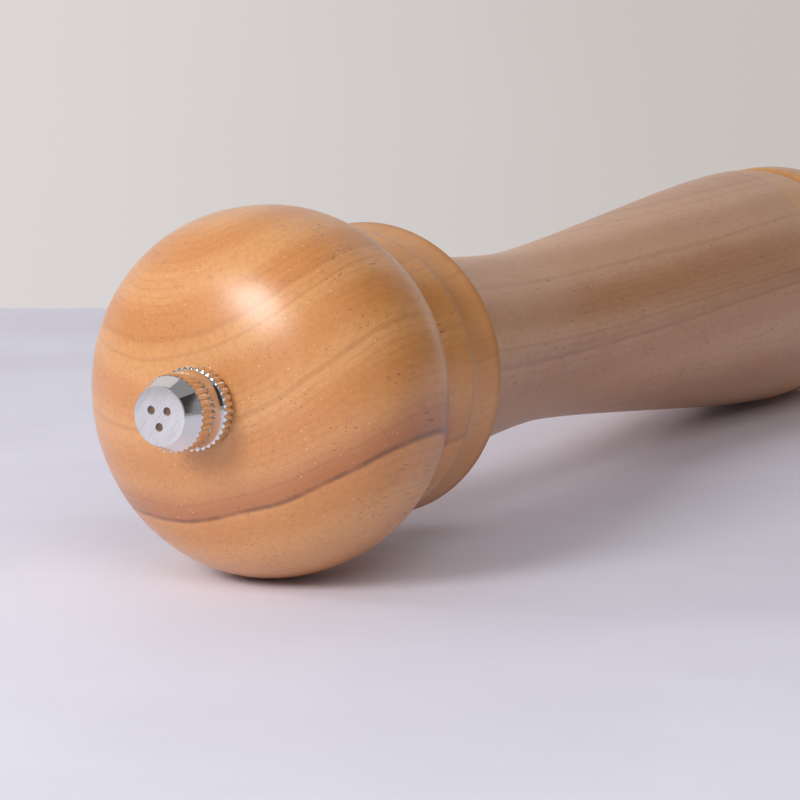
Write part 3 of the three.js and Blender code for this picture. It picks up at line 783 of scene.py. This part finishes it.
@dataclass
class AdjustingNut:
    """The plated nut: knurled base, flare, polished cone, knurled grip and a brushed face with three pits."""

    foot: float = 246.0
    height: float = 9.6
    base_radius: float = 6.15
    band: float = 1.7
    flare_top: float = 3.5
    flare_radius: float = 5.3
    flare_lean: Point = (5.45, 2.6)
    grip_radius: float = 5.6
    grip_top: float = 6.9
    shoulder_radius: float = 5.35
    face_radius: float = 4.3
    teeth: int = 36
    tooth_depth: float = 0.4
    grooves: tuple[tuple[float, float], ...] = ((0.5, 1.0), (0.25, 0.3), (0.75, 0.3))
    crease: float = 28.0
    pin_radius: float = 0.02
    dimple_radius: float = 1.2
    insert_radius: float = 4.0
    insert_top: float = 248.3
    bore_radius: float = 2.75
    bore_top: float = 253.6
    pit_circle: float = 1.55
    pit_radius: float = 0.62
    pit_depth: float = 0.35
    brush_turn: float = 0.65
    silver: Colour = (0.80, 0.79, 0.78)
    brushed: Colour = (0.42, 0.38, 0.36)
    smudged: Colour = (0.5, 0.46, 0.42)
    pit_brown: Colour = (0.20, 0.115, 0.075)

    def pits(self) -> Outline:
        """The middles of the three pits, seen from above."""
        turns = [math.pi / 2 + k * 2 * math.pi / 3 for k in range(3)]
        return [(self.pit_circle * math.cos(a), self.pit_circle * math.sin(a)) for a in turns]

    def plating(self) -> bpy.types.Material:
        """Polished plate whose top face is brushed, with dull pits.

        Returns:
            The plating's material.
        """
        g = Graph("plated_nut_metal")
        place = g.place()
        x, y, z = g.split(place)
        top, edge = (self.foot + self.height) * MM, self.pit_radius * MM
        face = z.ramp(top - 0.00008, top - 0.00002)
        turn = {"Vector": place, "Angle": self.brush_turn}
        turned = g.node("ShaderNodeVectorRotate", {"rotation_type": "Z_AXIS"}, turn)
        lines = g.streaks(turned, (5200.0, 260.0, 260.0), 5.0, 0.75)
        smudge = g.noise(place, 420.0, 3.0, 0.6)
        base = g.mix(face * lines.ramp(0.45, 0.8, 0.0, 0.7), self.silver, self.brushed)
        base = g.mix(smudge.ramp(0.45, 0.8, 0.0, 0.18), base, self.smudged)
        pits: Any = 0.0
        for middle_x, middle_y in self.pits():
            px, py = x - middle_x * MM, y - middle_y * MM
            pits = pits + (px * px + py * py).root().ramp(edge * 0.96, edge * 1.02, 1.0, 0.0)
        pits = pits * z.ramp(top - 0.0006, top - 0.0004)
        base = g.mix(pits, base, self.pit_brown)
        rough = face * 0.22 + smudge.ramp(0.3, 0.8, 0.05, 0.12) + lines.ramp(0.5, 0.8, 0.0, 0.05) + pits * 0.4
        normal = g.bump(lines * face, 0.00004, 0.5)
        normal = g.bump(smudge, 0.00005, 0.12, normal)
        g.set(Base_Color=base, Metallic=1.0 - pits * 0.8, Roughness=rough, Normal=normal)
        return g.material

    def outline(self) -> Outline:
        """The nut's outline from the bore's foot outwards, up to the face.

        Returns:
            Radius and height of each point.
        """
        base, grip = self.base_radius, self.grip_radius
        shoulder, face = self.shoulder_radius, self.face_radius
        foot, band, top = self.foot, self.foot + self.band, self.foot + self.height
        flare, cone = self.foot + self.flare_top, self.foot + self.grip_top
        points: Outline = [(self.insert_radius, foot), (base - 0.4, foot), (base - 0.05, foot + 0.15)]
        points += [(base, foot + 0.22), (base, band - 0.02), (base - 0.06, band + 0.02)]
        points += [(base - 0.4, band + 0.15)]
        points += quad((base - 0.43, band + 0.2), (self.flare_lean[0], foot + self.flare_lean[1]),
                       (self.flare_radius, flare), 8)
        points += [(self.flare_radius + 0.02, flare + 0.03), (grip - 0.03, flare + 0.14)]
        points += [(grip, flare + 0.2), (grip, cone - 0.2), (grip - 0.04, cone - 0.1)]
        points += [(shoulder + 0.01, cone), (shoulder - 0.02, cone + 0.05)]
        points += [(face + 0.05, top - 0.2), (face - 0.01, top - 0.08)]
        points += [(face - 0.07, top - 0.02), (face - 0.16, top)]
        return points

    def build(self) -> None:
        """Turns the nut, knurls both bands, closes the face, cuts the pits and dresses it."""
        top = self.foot + self.height
        points = self.outline() + [(self.dimple_radius, top), (self.pin_radius, top)]
        points += [(self.pin_radius, self.bore_top), (self.bore_radius, self.bore_top)]
        points += [(self.bore_radius, self.insert_top), (self.insert_radius, self.insert_top)]
        nut = Lathe.turn("knurled_nut", points, self.teeth * 4, self.crease)
        flare, cone = self.foot + self.flare_top, self.foot + self.grip_top
        for line in self.grooves:
            self.knurl(nut, self.base_radius, self.foot + 0.1, self.foot + self.band + 0.04, line)
            self.knurl(nut, self.grip_radius, flare + 0.05, cone - 0.05, line)
        self.close(nut)
        floor = top - self.pit_depth
        Cutter.cut(nut, [Cutter.drill(self.pit_radius, spot, floor, 1.0) for spot in self.pits()])
        bpy.ops.object.shade_smooth_by_angle(angle=math.radians(self.crease))
        finish_piece(nut, self.plating(), Body.NUT, Slot.CHROME, "adjusting_nut")

    def knurl(self, nut: bpy.types.Object, radius: float, low: float, high: float,
              line: tuple[float, float]) -> None:
        """Presses one line of points between each pair of teeth in one band.

        Args:
            nut: The nut.
            radius: The band's radius.
            low: The height where the band starts.
            high: The height where it ends.
            line: Where the line lies, as a share of the way from one tooth to the next, and how
                much of the full depth is pressed in.
        """
        bpy.ops.object.mode_set(mode="EDIT")
        step = 2 * math.pi / self.teeth
        middle, share = line

        def in_groove(co: Vector) -> bool:
            """Whether a point is on a groove's line in this band."""
            outside = math.hypot(co.x, co.y) > (radius - 0.1) * MM
            off = (math.atan2(co.y, co.x) / step) % 1.0
            return outside and low * MM < co.z < high * MM and abs(off - middle) < 0.1

        found = Lathe.pick(nut, in_groove)
        log.info("knurl: %d points pressed", found)
        k = 1 - self.tooth_depth * share / radius
        bpy.ops.transform.resize(value=(k, k, 1), center_override=(0, 0, low * MM))
        bpy.ops.object.mode_set(mode="OBJECT")

    def close(self, nut: bpy.types.Object) -> None:
        """Closes the pin-sized hole left on the axis."""
        bpy.ops.object.mode_set(mode="EDIT")
        Lathe.pick(nut, lambda co: math.hypot(co.x, co.y) < 0.05 * MM)
        bpy.ops.mesh.remove_doubles(threshold=0.00006)
        bpy.ops.mesh.select_all(action="SELECT")
        bpy.ops.mesh.normals_make_consistent(inside=False)
        bpy.ops.object.mode_set(mode="OBJECT")


@dataclass
class BurrSpring:
    """The compression spring that gives as the burr's height is set."""

    foot: float = 18.7
    top: float = 28.4
    radius: float = 5.243
    wire: float = 1.0
    wire_sides: int = 12
    turns: int = 5
    steps: int = 28
    steel: Metal = Metal("spring_wire", (0.50, 0.49, 0.47), 0.28, 0.4, (900.0, 900.0, 900.0))

    def build(self) -> None:
        """Winds the wire and closes its ends."""
        low, rise = self.foot + self.wire / 2, self.top - self.foot - self.wire
        bpy.ops.object.select_all(action="DESELECT")
        bpy.ops.mesh.primitive_circle_add(
            vertices=self.wire_sides, radius=self.wire / 2 * MM, fill_type="NGON",
            location=(self.radius * MM, 0, low * MM), rotation=(math.pi / 2, 0, 0))
        spring = bpy.context.object
        spring.name = spring.data.name = "wound_spring"
        bpy.ops.object.transform_apply(location=True, rotation=True, scale=True)
        bpy.ops.object.mode_set(mode="EDIT")
        bpy.ops.mesh.select_all(action="SELECT")
        count = self.turns * self.steps
        for _ in range(count):
            bpy.ops.mesh.extrude_region_move()
            bpy.ops.transform.rotate(value=2 * math.pi / self.steps, orient_axis="Z",
                                     center_override=(0, 0, 0))
            bpy.ops.transform.translate(value=(0, 0, rise / count * MM))
        bpy.ops.mesh.select_all(action="SELECT")
        bpy.ops.mesh.remove_doubles(threshold=0.000002)
        bpy.ops.mesh.normals_make_consistent(inside=False)
        bpy.ops.object.mode_set(mode="OBJECT")
        bpy.ops.object.shade_smooth_by_angle(angle=math.radians(40))
        spring.data.materials.append(self.steel.build())
        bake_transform(spring)
        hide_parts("spring")
        log.info("%s: %d faces", spring.name, len(spring.data.polygons))


# ---------------------------------------------------------------- carried-over pieces


@dataclass
class InnerWorks:
    """The finishes of the pieces that keep their plain shapes."""

    steel: Metal = Metal("bright_steel", (0.62, 0.61, 0.60), 0.26, 0.35, (300.0, 300.0, 2400.0))
    burr: Metal = Metal("hardened_burr_steel", (0.27, 0.265, 0.26), 0.42, 0.5, (1200.0, 1200.0, 300.0),
                        grit=0.5, dirt=0.4)
    aluminium: Metal = Metal("drawn_aluminium", (0.74, 0.74, 0.75), 0.36, 0.45, (3000.0, 3000.0, 80.0))
    washer: Metal = Metal("plated_washer", (0.75, 0.74, 0.72), 0.2, 0.4, (2000.0, 2000.0, 300.0))
    housing: Nylon = Nylon("black_nylon", (0.025, 0.024, 0.024))
    insert: Nylon = Nylon("white_nylon", (0.62, 0.60, 0.56))

    def build(self) -> None:
        """Gives every carried-over node its finish."""
        plates = ("drive_plate", "upper_bridge", "thrust_washer", "rotor_clip", "housing_screw",
                  "bridge_rivet")
        wear = {self.steel.build(): plates, self.burr.build(): ("rotor_burr", "stator_burr"),
                self.aluminium.build(): ("spindle",), self.washer.build(): ("nut_washer",),
                self.housing.build(): ("burr_housing",), self.insert.build(): ("nut_insert",)}
        for material, starts in wear.items():
            for name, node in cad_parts.items():
                if name.startswith(starts):
                    for place in node.material_slots:
                        place.material = material
                    log.info("%s: %s", name, material.name)


# ---------------------------------------------------------------- stage


@dataclass(frozen=True)
class Lamp:
    """A soft square light that looks at the head.

    Attributes:
        name: Its name.
        turn: Its bearing in degrees, from the right of the view round by the far side.
        rise: Its height above the table in degrees.
        distance: How far it stands from the head in metres.
        size: Its width in metres.
        power: Its power in watts.
        colour: Its tint.
        shows: Whether it is reflected in glossy surfaces.
    """

    name: str
    turn: float
    rise: float
    distance: float
    size: float
    power: float
    colour: Colour
    shows: bool = True


@dataclass
class Stage:
    """The table behind the mill, the soft lights and the camera."""

    lens: float = 103.5
    camera_at: tuple[float, float, float] = (-0.18268, -0.04819, 0.51648)
    forward: tuple[float, float, float] = (0.47915, 0.14287, -0.86603)
    up: tuple[float, float, float] = (0.07358, -0.98973, -0.12257)
    table_normal: tuple[float, float, float] = (0.0, -0.99996, 0.00880)
    table_gap: float = 0.02812
    far_edge: float = 0.709
    table_size: tuple[float, float] = (2.4, 2.0)
    wall_size: tuple[float, float] = (2.4, 1.2)
    shade_card_size: tuple[float, float] = (0.6, 0.5)
    shade_card_place: tuple[float, float, float] = (0.38, 0.1, 0.32)
    ball_middle: tuple[float, float, float] = (0.0, 0.0, 0.2257)
    lit_point: tuple[float, float, float] = (0.0, 0.0, 0.215)
    room: Colour = (0.29, 0.280, 0.287)
    lamps: tuple[Lamp, ...] = (
        Lamp("key_window", 228.0, 31.0, 0.8, 0.27, 3.3, (1.0, 0.985, 0.975)),
        Lamp("left_window", 178.0, 28.0, 0.8, 0.20, 1.2, (0.98, 0.98, 1.0), False),
        Lamp("front_fill", 285.0, 40.0, 0.9, 0.5, 2.2, (1.0, 0.98, 0.97), False))

    def camera(self) -> None:
        """Puts the camera where the mill is looked at from its nut end."""
        bpy.ops.object.select_all(action="DESELECT")
        bpy.ops.object.camera_add(location=self.camera_at)
        cam = bpy.context.object
        cam.name = "main_camera"
        forward, up = Vector(self.forward).normalized(), Vector(self.up)
        right = forward.cross(up).normalized()
        up = right.cross(forward)
        turn = Matrix((right, up, -forward)).transposed()
        cam.rotation_euler = turn.to_euler()
        cam.data.lens, cam.data.sensor_width = self.lens, 36.0
        cam.data.clip_start, cam.data.clip_end = 0.01, 20.0
        bpy.context.scene.camera = cam

    def axes(self) -> tuple[Vector, Vector, Vector]:
        """Along the table to the right, along it away from the camera, and up from it."""
        normal = Vector(self.table_normal).normalized()
        forward = Vector(self.forward).normalized()
        away = (forward - normal * forward.dot(normal)).normalized()
        return away.cross(normal).normalized(), away, normal

    def card(self, name: str, size: tuple[float, float], turn: tuple[Vector, Vector, Vector],
             where: Vector, material: bpy.types.Material) -> None:
        """One flat rectangle of the stage.

        Args:
            name: Its name.
            size: Width and height in metres.
            turn: The directions of its width, its height and its face.
            where: Its middle.
            material: What it is made of.
        """
        bpy.ops.object.select_all(action="DESELECT")
        bpy.ops.mesh.primitive_plane_add(size=1.0)
        card = bpy.context.object
        card.name = card.data.name = name
        bpy.ops.transform.resize(value=(size[0], size[1], 1.0))
        bpy.ops.object.transform_apply(location=False, rotation=False, scale=True)
        card.matrix_world = Matrix(turn).transposed().to_4x4()
        card.matrix_world.translation = where
        card.data.materials.append(material)

    def surroundings(self) -> None:
        """The table, the wall at its far edge and a dark sheet that stands in for the shaded side of the
        room.
        """
        side, away, normal = self.axes()
        forward, eye = Vector(self.forward).normalized(), Vector(self.camera_at)
        under = Vector(self.ball_middle) - normal * self.table_gap
        reach = (self.far_edge - (under - eye).dot(forward)) / away.dot(forward)
        edge = under + away * reach
        beside, beyond, above = self.shade_card_place
        shade_card_middle = under + side * beside + normal * above + away * beyond
        self.card("table_top", self.table_size, (side, away, normal),
                  edge - away * (self.table_size[1] / 2), Table().build())
        self.card("back_wall", self.wall_size, (side, normal, -away),
                  edge + normal * (self.wall_size[1] / 2), Wall().build())
        # The dark sheet is painted shade: it darkens the mill's side and reflections where the room is in
        # shade.
        self.card("dark_side", self.shade_card_size, (away, normal, -side), shade_card_middle, ShadeCard().build())
        log.info("table and wall: far edge %.0f mm beyond the ball", reach / MM)

    def light(self, lamp: Lamp) -> None:
        """Hangs one light and turns it to the head."""
        side, away, normal = self.axes()
        aim = Vector(self.lit_point)
        turn, rise = math.radians(lamp.turn), math.radians(lamp.rise)
        towards = (side * math.cos(turn) + away * math.sin(turn)) * math.cos(rise) + normal * math.sin(rise)
        where = aim + towards * lamp.distance
        bpy.ops.object.select_all(action="DESELECT")
        bpy.ops.object.light_add(type="AREA", location=where)
        hung = bpy.context.object
        hung.name = lamp.name
        hung.rotation_euler = (where - aim).to_track_quat("Z", "Y").to_euler()
        hung.data.shape, hung.data.size = "SQUARE", lamp.size
        hung.data.energy, hung.data.color = lamp.power, lamp.colour
        hung.visible_glossy = lamp.shows

    def world(self) -> None:
        """A dim, even room."""
        world = bpy.data.worlds.new("dim_room")
        world.use_nodes = True
        glow = world.node_tree.nodes["Background"]
        glow.inputs["Color"].default_value = (*self.room, 1.0)
        glow.inputs["Strength"].default_value = 1.0
        bpy.context.scene.world = world

    def build(self) -> None:
        """Sets the whole stage."""
        self.camera()
        self.surroundings()
        self.world()
        for lamp in self.lamps:
            self.light(lamp)
        bpy.context.scene.view_settings.view_transform = "Standard"


def main() -> None:
    """Builds the mill piece by piece, then the stage."""
    logging.basicConfig(level=logging.INFO, format="%(name)s %(message)s")
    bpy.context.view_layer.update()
    MillBody().build()
    MillHead().build()
    AdjustingNut().build()
    BurrSpring().build()
    InnerWorks().build()
    Stage().build()


if __name__ == "__main__":
    main()
